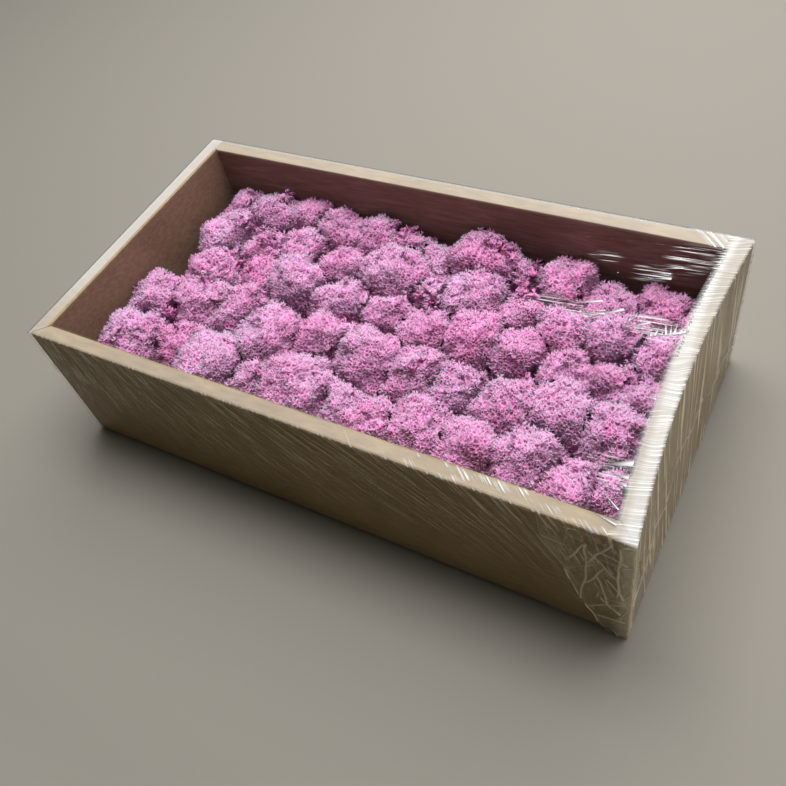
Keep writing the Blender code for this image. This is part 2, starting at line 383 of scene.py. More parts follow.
def coat_of_sprigs(paint):
    coat = bpy.data.node_groups.new("coat of sprigs", "GeometryNodeTree")
    coat.is_modifier = True
    for name, way, kind in (
        ("Geometry", "INPUT", "Geometry"),
        ("Seed", "INPUT", "Int"),
        ("Warmth", "INPUT", "Float"),
        ("Geometry", "OUTPUT", "Geometry"),
    ):
        coat.interface.new_socket(name, in_out=way, socket_type=f"NodeSocket{kind}")
    start = add_node(coat, "NodeGroupInput")
    end = add_node(coat, "NodeGroupOutput")

    # The sprigs stand where the sky can be seen, which is what shows
    open_sky = add_node(coat, "GeometryNodeInputNamedAttribute", {"Name": "open_sky"}, data_type="FLOAT")
    bare = add_node(coat, "ShaderNodeMapRange", {"From Min": 0, "From Max": 0.04})
    points = add_node(coat, "GeometryNodeDistributePointsOnFaces", distribute_method="POISSON")
    points.inputs["Distance Min"].default_value = sprig_spacing
    points.inputs["Density Max"].default_value = sprigs_tried / sprig_spacing ** 2
    link_nodes(
        coat,
        (open_sky, "Attribute", bare, "Value"),
        (bare, "Result", points, "Density Factor"),
        (start, "Geometry", points, "Mesh"),
        (start, "Seed", points, "Seed"),
    )

    # Each sprig leans a little from the surface and takes a turn and a size of its own. In the
    # creases the sprigs are longer.
    upright = add_node(coat, "FunctionNodeAlignRotationToVector", axis="Z")
    lean = add_node(coat, "FunctionNodeRandomValue", data_type="FLOAT_VECTOR")
    lean.inputs["Min"].default_value = (-sprig_lean, -sprig_lean, 0)
    lean.inputs["Max"].default_value = (sprig_lean, sprig_lean, full_turn)
    turned = add_node(coat, "FunctionNodeRotateRotation", rotation_space="LOCAL")
    to_rotation = add_node(coat, "FunctionNodeEulerToRotation")
    size = add_node(coat, "FunctionNodeRandomValue", {2: smallest, 3: largest}, data_type="FLOAT")
    in_crease = add_node(coat, "ShaderNodeMapRange", {"From Min": 0.1, "From Max": 0.6})
    in_crease.inputs["To Min"].default_value = crease_size
    own_size = add_node(coat, "ShaderNodeMath", operation="MULTIPLY")
    kinds = add_node(coat, "GeometryNodeCollectionInfo", {"Collection": sprigs})
    kinds.inputs["Separate Children"].default_value = True
    kinds.inputs["Reset Children"].default_value = True
    planted = add_node(coat, "GeometryNodeInstanceOnPoints", {"Pick Instance": True})
    link_nodes(
        coat,
        (points, "Normal", upright, "Vector"),
        (start, "Seed", lean, "Seed"),
        (start, "Seed", size, "Seed"),
        (lean, 0, to_rotation, "Euler"),
        (upright, "Rotation", turned, "Rotation"),
        (to_rotation, "Rotation", turned, "Rotate By"),
        (points, "Points", planted, "Points"),
        (kinds, "Instances", planted, "Instance"),
        (turned, "Rotation", planted, "Rotation"),
        (open_sky, "Attribute", in_crease, "Value"),
        (in_crease, "Result", own_size, 0),
        (size, 1, own_size, 1),
        (own_size, "Value", planted, "Scale"),
    )

    # The dye took unevenly, so each sprig keeps how warm its pink is
    place = add_node(coat, "GeometryNodeInputPosition")
    patches = add_node(coat, "ShaderNodeTexNoise", {"Scale": 42, "Detail": 3})
    spread = add_node(coat, "ShaderNodeMapRange", {"From Min": 0.35, "From Max": 0.65})
    spread.inputs["To Min"].default_value = -0.42
    spread.inputs["To Max"].default_value = 0.42
    own_warmth = add_node(coat, "ShaderNodeMath", operation="ADD", use_clamp=True)
    warm = add_node(coat, "GeometryNodeStoreNamedAttribute", {"Name": "warmth"}, domain="INSTANCE")
    link_nodes(
        coat,
        (place, "Position", patches, "Vector"),
        (patches, "Fac", spread, "Value"),
        (spread, "Result", own_warmth, 0),
        (start, "Warmth", own_warmth, 1),
        (planted, "Instances", warm, "Geometry"),
        (own_warmth, "Value", warm, "Value"),
    )

    # In the creases the tips take the deep colour of the hollows: painted shade, darker and pinker where
    # a place sees less sky
    in_light = add_node(coat, "ShaderNodeMapRange", {"From Min": 0.05, "From Max": 0.5, "To Min": 0.35})
    lit = add_node(coat, "GeometryNodeStoreNamedAttribute", {"Name": "light"}, domain="INSTANCE")
    real = add_node(coat, "GeometryNodeRealizeInstances")
    drawn_tip = add_node(coat, "GeometryNodeInputNamedAttribute", {"Name": "tip"})
    own_light = add_node(coat, "GeometryNodeInputNamedAttribute", {"Name": "light"})
    dimmed = add_node(coat, "ShaderNodeMath", operation="MULTIPLY")
    crease_shaded_tip = add_node(coat, "GeometryNodeStoreNamedAttribute", {"Name": "tip"})
    link_nodes(
        coat,
        (open_sky, "Attribute", in_light, "Value"),
        (warm, "Geometry", lit, "Geometry"),
        (in_light, "Result", lit, "Value"),
        (lit, "Geometry", real, "Geometry"),
        (drawn_tip, "Attribute", dimmed, 0),
        (own_light, "Attribute", dimmed, 1),
        (real, "Geometry", crease_shaded_tip, "Geometry"),
        (dimmed, "Value", crease_shaded_tip, "Value"),
    )

    # Between the sprigs the branches close into lace, and every gap in it is a small dark funnel whose
    # floor takes the deep colour, partly painted shade in the pit
    in_sight = add_node(coat, "FunctionNodeCompare", {"B": 0.03}, operation="GREATER_THAN")
    top_skin = add_node(coat, "GeometryNodeSeparateGeometry", domain="FACE")
    threes = add_node(coat, "GeometryNodeTriangulate")
    cells = add_node(coat, "GeometryNodeDualMesh")
    ridge = add_node(coat, "GeometryNodeStoreNamedAttribute", {"Name": "tip", "Value": lace_tone})
    sink = add_node(coat, "GeometryNodeExtrudeMesh", {"Offset Scale": -lace_depth})
    narrow = add_node(coat, "GeometryNodeScaleElements", {"Scale": lace_gap})
    shaded_pit_floor = add_node(coat, "GeometryNodeStoreNamedAttribute", {"Name": "tip"})
    stretches = add_node(coat, "ShaderNodeTexNoise", {"Scale": 30})
    closeness = add_node(coat, "ShaderNodeMapRange", {"From Min": 0.42, "From Max": 0.6})
    closeness.inputs["To Min"].default_value = 0.02
    closeness.inputs["To Max"].default_value = 0.34
    dyed = add_node(coat, "GeometryNodeStoreNamedAttribute", {"Name": "warmth"})
    link_nodes(
        coat,
        (open_sky, "Attribute", in_sight, "A"),
        (start, "Geometry", top_skin, "Geometry"),
        (in_sight, "Result", top_skin, "Selection"),
        (top_skin, "Selection", threes, "Mesh"),
        (threes, "Mesh", cells, "Mesh"),
        (cells, "Dual Mesh", ridge, "Geometry"),
        (ridge, "Geometry", sink, "Mesh"),
        (sink, "Mesh", narrow, "Geometry"),
        (sink, "Top", narrow, "Selection"),
        (narrow, "Geometry", shaded_pit_floor, "Geometry"),
        (sink, "Top", shaded_pit_floor, "Selection"),
        (place, "Position", stretches, "Vector"),
        (stretches, "Fac", closeness, "Value"),
        (closeness, "Result", shaded_pit_floor, "Value"),
        (shaded_pit_floor, "Geometry", dyed, "Geometry"),
        (own_warmth, "Value", dyed, "Value"),
    )
    whole = add_node(coat, "GeometryNodeJoinGeometry")
    worn = add_node(coat, "GeometryNodeSetMaterial", {"Material": paint})
    link_nodes(
        coat,
        (crease_shaded_tip, "Geometry", whole, "Geometry"),
        (dyed, "Geometry", whole, "Geometry"),
        (whole, "Geometry", worn, "Geometry"),
        (worn, "Geometry", end, "Geometry"),
    )
    return coat


weld_distance = 0.00001


def copy_of_node(node, name):
    solid = frame["nodes"][node]
    copied = bpy.data.objects.new(name, solid.data.copy())
    bpy.context.scene.collection.objects.link(copied)
    bpy.ops.object.select_all(action="DESELECT")
    bpy.context.view_layer.objects.active = copied
    copied.select_set(True)
    bpy.ops.object.mode_set(mode="EDIT")
    bpy.ops.mesh.select_all(action="SELECT")
    bpy.ops.mesh.remove_doubles(threshold=weld_distance)
    bpy.ops.object.mode_set(mode="OBJECT")
    copied.data.materials.clear()
    return copied


def apply_all(thing):
    bpy.context.view_layer.objects.active = thing
    for modifier in list(thing.modifiers):
        bpy.ops.object.modifier_apply(modifier=modifier.name)


# Each head has a plain dark body, and round it a lumpy cushion of lace. Lumps, florets and a
# broad swell push the cushion in and out, and it is warped a little, but not into the walls.
body_depth = 0.0052
body_cell = 0.0045
lump_scale = 74
lump_high = 0.0058
lump_middle = 0.45
floret_scale = 120
floret_high = 0.0022
floret_middle = 0.4
floret_shift = Vector((3, 1, 2))
dome_fall = 1.3
swell_scale = 31
swell_high = 0.003
warp_scale = 36
warp_far = 0.0045
warp_room = 0.012
stray_share = 0.22

# Vector noise starts from the clock unless it has a seed
noise_seed = 4
noise.seed_set(noise_seed)


def make_body(node):
    body = copy_of_node(node, node.replace("moss_head", "moss_body"))
    drawn_in = body.modifiers.new("drawn in", "DISPLACE")
    drawn_in.mid_level = 0
    drawn_in.strength = -body_depth
    even = body.modifiers.new("even mesh", "REMESH")
    even.mode = "VOXEL"
    even.voxel_size = body_cell
    apply_all(body)
    return body


def dome_at(spot, middle):
    return middle - noise.voronoi(spot)[0][0] ** 2 * dome_fall


def make_cushion(node):
    cushion = copy_of_node(node, node.replace("moss_head", "moss_cushion"))
    even = cushion.modifiers.new("even mesh", "REMESH")
    even.mode = "VOXEL"
    even.voxel_size = lace_cell
    soft = cushion.modifiers.new("soft edges", "SMOOTH")
    soft.factor = 0.5
    soft.iterations = 6
    apply_all(cushion)
    chance = random.Random(node)
    for corner in cushion.data.vertices:
        lump = dome_at(corner.co * lump_scale, lump_middle)
        floret = dome_at(corner.co * floret_scale + floret_shift, floret_middle)
        swell = noise.noise(corner.co * swell_scale)
        room = coat_height * (0.25 + 0.75 * max(corner.normal.z, 0))
        stray = Vector((chance.uniform(-1, 1), chance.uniform(-1, 1), chance.uniform(-1, 1)))
        push = lump_high * lump + floret_high * floret + swell_high * swell - room
        to_wall = min(tray_high.x - wall - abs(corner.co.x), tray_high.y - wall - abs(corner.co.y))
        warp = noise.noise_vector(corner.co * warp_scale) * warp_far * min(max(to_wall / warp_room, 0), 1)
        warp.z = 0
        corner.co += corner.normal * push + warp + stray * lace_cell * stray_share
    return cushion


# How much of the sky a place on a cushion sees, past its own lumps, its neighbours and the walls.
# What lies deep or looks down isn't tried, and stays bare.
sky_depth = 0.03
sky_tilt = -0.4
eye_height = 0.0018
sky_reach = 0.1
body_tip = 0.1
sky_rings = ((28, 4), (52, 8), (72, 6))


def find_open_sky(cushion, blockers, rays):
    open_sky = cushion.data.attributes.new("open_sky", "FLOAT", "POINT")
    tip = cushion.data.attributes.new("tip", "FLOAT", "POINT")
    top = max(corner.co.z for corner in cushion.data.vertices)
    for corner in cushion.data.vertices:
        tip.data[corner.index].value = body_tip
        if corner.co.z < top - sky_depth or corner.normal.z < sky_tilt:
            continue
        eye = corner.co + corner.normal * eye_height
        seen = [ray for ray in rays if blockers.ray_cast(eye, ray, sky_reach)[0] is None]
        open_sky.data[corner.index].value = len(seen) / len(rays)


# The moss's colour depends on its warmth and its tip value alone, so its flat layout has one of
# them across and the other up, and each corner strays a little to give every face some width
layout_edge = 0.04
layout_stray = 0.03


def layout_place(value, chance):
    strayed = (1 - layout_stray) * value + layout_stray * chance.random()
    return layout_edge + (1 - 2 * layout_edge) * strayed


def lay_out_for_bake(thing, seed):
    chance = random.Random(seed)
    count = len(thing.data.vertices)
    tips = [0.0] * count
    warmths = [0.0] * count
    thing.data.attributes["tip"].data.foreach_get("value", tips)
    thing.data.attributes["warmth"].data.foreach_get("value", warmths)
    places = [(layout_place(warm, chance), layout_place(tip, chance)) for tip, warm in zip(tips, warmths)]
    corners_of = [0] * len(thing.data.loops)
    thing.data.loops.foreach_get("vertex_index", corners_of)
    flat = [part for corner in corners_of for part in places[corner]]
    layout = thing.data.uv_layers.new(name="OFBake")
    layout.uv.foreach_set("vector", flat)


dyed_moss = moss_paint()
coat = coat_of_sprigs(dyed_moss)
heads = sorted(name for name in frame["nodes"] if name.startswith("moss_head"))
cushions = [make_cushion(node) for node in heads]
corners = []
faces = []
for thing in cushions + [frame["nodes"]["cardboard_tray"]]:
    first = len(corners)
    corners += [corner.co.copy() for corner in thing.data.vertices]
    faces += [[first + index for index in face.vertices] for face in thing.data.polygons]
blockers = BVHTree.FromPolygons(corners, faces)
rays = [Vector((0, 0, 1))]
for lean, turns in sky_rings:
    rays += [heading_at(math.radians(lean), math.tau * number / turns + lean) for number in range(turns)]

# The heads whose pink is warmer or cooler than the others'
plain_warmth = 0.38
odd_warmths = {
    0.56: ("a01", "a06", "a08", "b08", "c02", "c07", "c08", "d05", "e02", "e04", "e11"),
    0.12: ("a02", "a07", "b01", "b05", "b07", "b10", "c03", "d04", "d10", "d11"),
    0.05: ("e01", "e03", "e10"),
}
warmth_of = {head: warmth for warmth, group in odd_warmths.items() for head in group}
for number, (node, cushion) in enumerate(zip(heads, cushions)):
    find_open_sky(cushion, blockers, rays)
    body = make_body(node)
    grown = cushion.modifiers.new("sprigs", "NODES")
    grown.node_group = coat
    grown["Socket_1"] = number
    grown["Socket_2"] = warmth_of.get(node[-3:], plain_warmth)
    bpy.ops.object.select_all(action="DESELECT")
    cushion.select_set(True)
    apply_all(cushion)
    body.select_set(True)
    bpy.ops.object.join()
    cushion.data.materials.clear()
    cushion.data.materials.append(dyed_moss)
    bpy.ops.object.shade_smooth()
    lay_out_for_bake(cushion, number)
    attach(cushion, "root")
    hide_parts(node)
for sprig in list(sprigs.objects):
    bpy.data.objects.remove(sprig)

# The film is one clear shrink sheet, drawn over the rim and the four sides and folded under the
# base. Heat has pulled it into fine wrinkles that run from the rim, and it is painted white where
# it is crowded: at the right end, in the folded corner by the camera, and along its seal. This
# white is partly the film's own milkiness and partly painted glints and sheen.
film_low, film_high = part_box("film_wrap")
film_long = film_high.x - film_low.x
film_deep = film_high.y - film_low.y
film_tall = film_high.z - film_low.z
film_cell = 0.0014
end_wall_bow = 0.0055
fold_under = 0.022
foot_line = 0.0001


def cells_in(length):
    return max(int(round(length / film_cell)), 1)


def add_film_side(across, up, size_across, size_up, middle):
    bpy.ops.mesh.primitive_grid_add(
        x_subdivisions=cells_in(size_across), y_subdivisions=cells_in(size_up), size=1,
    )
    side = bpy.context.object
    for corner in side.data.vertices:
        corner.co = middle + across * corner.co.x * size_across + up * corner.co.y * size_up
    return side


def smooth_step(value, low, high):
    part = min(max((value - low) / (high - low), 0), 1)
    return part * part * (3 - 2 * part)


def noise_at(along, across, layer):
    return noise.noise(Vector((along, across, layer)))


# A place on each side is told in millimetres: how far along from the left or the front, and how
# far across from the front or down from the rim.
mm = 0.001
to_mm = 1000
tray_long = 320
tray_deep = 169
rim_wide = 8
rim_edge = (7, 9)
right_rim_edge = (310, 313)


def side_of(normal):
    if normal.z > 0.5:
        return "top"
    if abs(normal.y) > 0.5:
        return "front" if normal.y < 0 else "back"
    return "right" if normal.x > 0 else "left"


def place_on(side, spot):
    down = (film_high.z - spot.z) * to_mm
    if side == "top":
        return (spot.x - film_low.x) * to_mm, (spot.y - film_low.y) * to_mm
    if side in ("front", "back"):
        return (spot.x - film_low.x) * to_mm, down
    return (spot.y - film_low.y) * to_mm, down


# On the front the wrinkles fan out from the rim. Their slope grows evenly up to the left turn and
# falls evenly past the right one, so the line through a place gives where on the rim it starts.
left_slope = -0.1
full_slope = 1.5
left_turn = 165
right_turn = 175
slope_fall = 0.0096


def rim_start(along, down):
    growth = (full_slope - left_slope) / left_turn
    start = (along - left_slope * down) / (1 + growth * down)
    if start < left_turn:
        return start
    start = (along - (full_slope + slope_fall * right_turn) * down) / (1 - slope_fall * down)
    if start > right_turn:
        return start
    return along - full_slope * down


# The grain of the wrinkles is how far across them, and how far along them, a place is. They lie
# closest on the right rim and widest on the two ends, and lean a little on every side.
right_rim_close = 1.5
right_rim_slope = 0.25
long_rim_close = 0.7
long_rim_slope = 1.1
opening_slope = 0.1
front_close = 0.45
front_run = 1.6
back_close = 0.6
back_slope = 0.4
back_turn = 1.1
end_close = 0.22
end_run = 0.4
end_slope = 0.12


def grain_at(side, spot, middle):
    along, across = place_on(side, spot)
    if side == "top":
        face_along, face_across = place_on(side, middle)
        if face_along > right_rim_edge[0]:
            waver = 2 * noise_at(along * 0.1, across * 0.06, 3)
            return right_rim_close * (across - right_rim_slope * along + waver), along
        if min(face_across, tray_deep - face_across) < rim_wide:
            return long_rim_close * (along + long_rim_slope * across), across
        waver = 2 * noise_at(along * 0.012, across * 0.02, 3)
        return across - opening_slope * along + waver, along
    if side == "front":
        waver = 2 * noise_at(along * 0.03, across * 0.05, 6)
        return front_close * (rim_start(along, across) + waver), front_run * across
    if side == "back":
        slope = back_slope - back_turn * smooth_step(along, 0, tray_long)
        return back_close * (along - slope * across), across
    slope = end_slope * math.sin(along * 0.05)
    waver = 1.2 * noise_at(along * 0.05, across * 0.04, 6)
    return end_close * (along - slope * across + waver), end_run * across


# Where the film is drawn into tight folds over the open top: how far along and across their
# middle is, and half their length and half their width
tight_folds = (
    (251, 106, 10, 4),
    (264, 103, 9, 4),
    (299, 104, 14, 8),
    (262, 140, 8, 3),
    (286, 136, 9, 6),
    (303, 31, 11, 4),
    (308, 24, 8, 4),
    (300, 150, 12, 10),
)


def tightness_at(along, across):
    tight = 0
    for mid_along, mid_across, half_long, half_deep in tight_folds:
        away = ((along - mid_along) / half_long) ** 2 + ((across - mid_across) / half_deep) ** 2
        tight = max(tight, 1 - smooth_step(away, 0.3, 1.4))
    return tight


# How high the wrinkles stand. On the left end the film is loose by the front corner and bulges.
top_wrinkle = 0.035
tight_wrinkle = 0.11
left_wrinkle = 0.03
front_wrinkle = 0.06
front_foot_wrinkle = 0.30
end_wrinkle = 0.08
end_foot_wrinkle = 0.24
left_bulge = 2.6
bulge_end = 45
foot_edge = (48, 84)


def wrinkle_at(side, spot):
    along, across = place_on(side, spot)
    over, run = grain_at(side, spot, spot)
    coarse = noise_at(over * 0.30, run * 0.018, 11)
    fine = noise_at(over * 0.62, run * 0.03, 27)
    if side == "top":
        tight = tightness_at(along, across)
        left = 1 - smooth_step(along, 12, 60)
        edge = min(across, film_deep * to_mm - across, film_long * to_mm - along)
        rims = smooth_step(edge, 0, 6)
        return rims * (top_wrinkle + tight_wrinkle * tight + left_wrinkle * left) * (coarse + 0.6 * fine)
    rim = smooth_step(across, 0, 3)
    foot = 1 - smooth_step(across, *foot_edge)
    if side == "front":
        return rim * (front_wrinkle + front_foot_wrinkle * foot) * (coarse + 0.5 * fine)
    creased = rim * (end_wrinkle + end_foot_wrinkle * foot) * (coarse + 0.5 * fine)
    if side == "left":
        loose = 1 - smooth_step(along, 0, bulge_end)
        loose *= math.sin(math.pi * min(across / (film_tall * to_mm), 1))
        return left_bulge * loose + creased
    return creased


# How thick the white streaks are at a place, and how milky the film is between them: partly the
# film's own milkiness, partly painted glints and sheen. On the top both gather in a band along the
# right rim, in its back corner and in the tight folds; the white specks along the front rim are
# painted glints, and the paler rim all round is partly painted sheen.
def milk_and_glints_on_top(along, across):
    right_rim = smooth_step(along, *right_rim_edge)
    band_middle = 318.5 - 7 * smooth_step(across, 50, 150)
    band = 1 - smooth_step(abs(along - band_middle), 1.5, 5)
    near_ends = 0.3 + (0.25 + 0.45 * smooth_step(across, 80, 140)) * band
    back_corner = smooth_step(along + 1.2 * (across - 158), 303, 311) * smooth_step(across, 146, 156)
    back_corner *= 1 - smooth_step(along, 313, 317)
    speck = smooth_step(noise_at(along * 0.11, across * 0.25, 12), -0.1, 0.3)
    front_rim = smooth_step(along, 180, 260) * (1 - smooth_step(across, *rim_edge)) * speck
    tight = 0.7 * tightness_at(along, across)
    streaks = max(right_rim * near_ends, 0.9 * back_corner, 0.85 * front_rim, tight) + 0.012
    rim = 1 - smooth_step(min(tray_deep - across, along, tray_long - along), *rim_edge)
    rim = max(rim, 0.75 * (1 - smooth_step(across, *rim_edge)))
    left_rim = (1 - smooth_step(along, *rim_edge)) * smooth_step(across, 4, 50)
    return min(streaks, 1), 0.24 * rim + (0.08 + 0.18 * band) * right_rim + 0.2 * left_rim


def milk_and_glints_at(side, spot):
    along, across = place_on(side, spot)
    if side == "top":
        return milk_and_glints_on_top(along, across)
    if side == "front":
        # On the front the white streaks fade out toward the foot, which paints shade there; by the flap
        # and along the corner edge the film is whiter, partly painted highlight
        corner = smooth_step(along, 272, 300) * smooth_step(across, 4, 20)
        edge = smooth_step(along, 312, 319)
        streaks = 0.02 + 0.68 * (1 - smooth_step(across, 5, 72)) + 0.2 * corner
        return min(streaks, 1), 0.02 * corner + 0.45 * edge
    if side == "right":
        # On the right end the streaks and haze thin out toward the back, and the edge by the camera is
        # whiter, partly painted highlight
        edge = 1 - smooth_step(along, 1, 8)
        far = smooth_step(along, 80, 160)
        return 0.9 - 0.35 * far, 0.17 - 0.13 * far + 0.45 * edge
    return 0.3, 0.01


def set_attribute(thing, name, values):
    thing.data.attributes.new(name, "FLOAT", "POINT").data.foreach_set("value", values)


bpy.ops.object.select_all(action="DESELECT")
centre = Vector((0, 0, (film_low.z + film_high.z) / 2))
right_way = Vector((1, 0, 0))
back_way = Vector((0, 1, 0))
up_way = Vector((0, 0, 1))
film_sides = [
    add_film_side(right_way, back_way, film_long, film_deep, centre + up_way * film_tall / 2),
    add_film_side(right_way, up_way, film_long, film_tall, centre - back_way * film_deep / 2),
    add_film_side(-right_way, up_way, film_long, film_tall, centre + back_way * film_deep / 2),
    add_film_side(back_way, up_way, film_deep, film_tall, centre + right_way * film_long / 2),
    add_film_side(-back_way, up_way, film_deep, film_tall, centre - right_way * film_long / 2),
]
for side in film_sides:
    side.select_set(True)
bpy.context.view_layer.objects.active = film_sides[0]
bpy.ops.object.join()
film = bpy.context.object
film.name = "shrink_film"
film.data.name = "shrink_film"
bpy.ops.object.mode_set(mode="EDIT")
bpy.ops.mesh.select_all(action="SELECT")
bpy.ops.mesh.remove_doubles(threshold=film_cell / 5)
bpy.ops.object.mode_set(mode="OBJECT")

# Each place gets its grain, its milk with painted glints, and its wrinkle. Below the rim the film
# shows brown, from the board behind it, and on the right it follows the end wall that it has drawn
# inwards.
amber_depth = 4
bow_start = 0.05

grain = film.data.uv_layers.new(name="grain")
milk_and_glint_pairs = [(0.0, 0.0)] * len(film.data.vertices)
moves = [Vector() for corner in film.data.vertices]
for face in film.data.polygons:
    side = side_of(face.normal)
    for loop in face.loop_indices:
        number = film.data.loops[loop].vertex_index
        spot = film.data.vertices[number].co
        grain.data[loop].uv = grain_at(side, spot, face.center)
        milk_and_glint_pairs[number] = max(milk_and_glint_pairs[number], milk_and_glints_at(side, spot))
        if moves[number].length == 0:
            moves[number] = face.normal * wrinkle_at(side, spot) * mm
set_attribute(film, "milk_and_glint", [milk_and_glint for milk_and_glint, haze_and_sheen in milk_and_glint_pairs])
set_attribute(film, "haze_and_sheen", [haze_and_sheen for milk_and_glint, haze_and_sheen in milk_and_glint_pairs])
set_attribute(film, "amber", [
    smooth_step((film_high.z - corner.co.z) * to_mm, 0, amber_depth) for corner in film.data.vertices
])
for corner in film.data.vertices:
    bow = 0
    if corner.co.x > 0:
        across = math.cos(math.pi * corner.co.y / film_deep)
        bow = end_wall_bow * max(across, 0) * corner.co.z / film_high.z
        bow *= smooth_step(corner.co.x, bow_start, film_high.x)
    corner.co += moves[corner.index] - Vector((bow, 0, 0))
bpy.ops.object.mode_set(mode="EDIT")
bpy.ops.mesh.select_all(action="DESELECT")
bpy.ops.object.mode_set(mode="OBJECT")
for edge in film.data.edges:
    ends = [film.data.vertices[number] for number in edge.vertices]
    edge.select = all(end.co.z < film_low.z + foot_line for end in ends)
bpy.context.tool_settings.mesh_select_mode = (False, True, False)
bpy.ops.object.mode_set(mode="EDIT")
bpy.ops.mesh.extrude_edges_move()
bpy.ops.transform.resize(
    value=(1 - 2 * fold_under / film_long, 1 - 2 * fold_under / film_deep, 1),
    center_override=(0, 0, 0),
)
bpy.ops.object.mode_set(mode="OBJECT")
bpy.ops.object.shade_smooth()


# Clear film shows what is behind it and glints where it is seen edge on. Its streaks and its haze,
# partly painted glints and sheen, are white on the top, and brown on the sides, where the board
# shows through.
milk_and_sheen_white = (0.80, 0.80, 0.795, 1)
milk_and_sheen_brown = (0.80, 0.67, 0.42, 1)


def film_paint():
    paint = bpy.data.materials.new("clear_film")
    paint.use_nodes = True
    tree = paint.node_tree
    tree.nodes.remove(tree.nodes["Principled BSDF"])
    clear = add_node(tree, "ShaderNodeBsdfTransparent")
    gloss = add_node(tree, "ShaderNodeBsdfGlossy", {"Roughness": 0.035})
    white = add_node(tree, "ShaderNodeBsdfPrincipled", {"Roughness": 0.3})
    browned = add_node(tree, "ShaderNodeAttribute", attribute_name="amber")
    tint = add_node(tree, "ShaderNodeMix", {"A": milk_and_sheen_white, "B": milk_and_sheen_brown}, data_type="RGBA")
    facing = add_node(tree, "ShaderNodeLayerWeight", {"Blend": 0.5})
    steep = add_node(tree, "ShaderNodeMath", {1: 6}, operation="POWER")
    shine = add_node(tree, "ShaderNodeMapRange", {"To Min": 0.01, "To Max": 0.8})
    bare = add_node(tree, "ShaderNodeMixShader")
    skin = add_node(tree, "ShaderNodeMixShader")
    grain = add_node(tree, "ShaderNodeUVMap", uv_map="grain")
    stretch = add_node(tree, "ShaderNodeMapping", {"Scale": (1.1, 0.035, 1)})
    streaks = add_node(tree, "ShaderNodeTexNoise", {"Scale": 1, "Detail": 3})
    crests = add_node(tree, "ShaderNodeMapRange", {"From Min": 0.52, "From Max": 0.66})
    broad_stretch = add_node(tree, "ShaderNodeMapping", {"Scale": (0.3, 0.009, 1)})
    broad = add_node(tree, "ShaderNodeTexNoise", {"Scale": 1})
    bands = add_node(tree, "ShaderNodeMapRange", {"From Min": 0.5, "From Max": 0.75, "To Max": 0.35})
    all_crests = add_node(tree, "ShaderNodeMath", operation="MAXIMUM")
    where = add_node(tree, "ShaderNodeAttribute", attribute_name="milk_and_glint")
    veil = add_node(tree, "ShaderNodeAttribute", attribute_name="haze_and_sheen")
    mask = add_node(tree, "ShaderNodeMath", operation="MULTIPLY_ADD", use_clamp=True)
    ridge = add_node(tree, "ShaderNodeBump", {"Strength": 0.25, "Distance": 0.0003})
    link_nodes(
        tree,
        (grain, "UV", stretch, "Vector"),
        (stretch, "Vector", streaks, "Vector"),
        (streaks, "Fac", crests, "Value"),
        (grain, "UV", broad_stretch, "Vector"),
        (broad_stretch, "Vector", broad, "Vector"),
        (broad, "Fac", bands, "Value"),
        (crests, "Result", all_crests, 0),
        (bands, "Result", all_crests, 1),
        (all_crests, "Value", mask, 0),
        (where, "Fac", mask, 1),
        (browned, "Fac", tint, "Factor"),
        (tint, "Result", white, "Base Color"),
        (veil, "Fac", mask, 2),
        (streaks, "Fac", ridge, "Height"),
        (ridge, "Normal", gloss, "Normal"),
        (facing, "Facing", steep, 0),
        (steep, "Value", shine, "Value"),
        (shine, "Result", bare, "Fac"),
        (clear, "BSDF", bare, 1),
        (gloss, "BSDF", bare, 2),
        (mask, "Value", skin, "Fac"),
        (bare, "Shader", skin, 1),
        (white, "BSDF", skin, 2),
        (skin, "Shader", tree.nodes["Material Output"], "Surface"),
    )
    return paint


clear_film = film_paint()
film.data.materials.clear()
film.data.materials.append(clear_film)
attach(film, "root")
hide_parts("film_wrap")


# At the corner nearest the camera the spare film is tucked into a three-cornered flap, pressed
# flat on the front. Its creases are told in millimetres along the front and down from the rim.
flap_edge = ((0, 282), (15, 283), (37, 292.8), (58, 299.5), (77, 308), (84, 312))
flap_creases = (
    ((292.8, 37.4), (299.5, 58), (307.9, 76.8)),
    ((302, 8.9), (301.4, 38), (300.1, 67)),
    ((294.9, 25.6), (301.6, 9.2)),
    ((303.6, 63.7), (319, 50)),
    ((315.6, 4.3), (315.2, 44.4)),
    ((311, 33), (318, 46.2)),
    ((302.5, 23.7), (312.1, 3.3)),
    ((301.6, 43), (309.9, 23.8)),
    ((306.8, 70.5), (318.8, 67.8)),
    ((284, 15.3), (293.2, 17.2)),
    ((304, 14), (315, 30)),
    ((309, 52), (317, 62)),
    ((306, 33), (313, 58)),
    ((308, 12), (318, 16)),
)
flap_cells_across = 90
flap_cells_down = 190
flap_margin = 0.5
flap_side_gap = 0.3
flap_amber = 0.8
crease_width = 0.6
crease_stray = 1.4
crumple_edge = 0.09
small_crumple_edge = 0.12


def read_line(line, place):
    for (first, value_at_first), (second, value_at_second) in zip(line, line[1:]):
        if place <= second:
            part = (place - first) / (second - first)
            return value_at_first + (value_at_second - value_at_first) * part
    return line[-1][1]


def crease_at(along, down):
    waver = noise.noise_vector(Vector((along * 0.09, down * 0.09, 1))) * crease_stray
    spot = Vector((along + waver.x, down + waver.y, 0))
    away = tray_long
    for crease in flap_creases:
        for start, end in zip(crease, crease[1:]):
            start = Vector((*start, 0))
            run = Vector((*end, 0)) - start
            part = min(max((spot - start).dot(run) / run.length_squared, 0), 1)
            away = min(away, (spot - start - run * part).length)
    return math.exp(-((away / crease_width) ** 2))


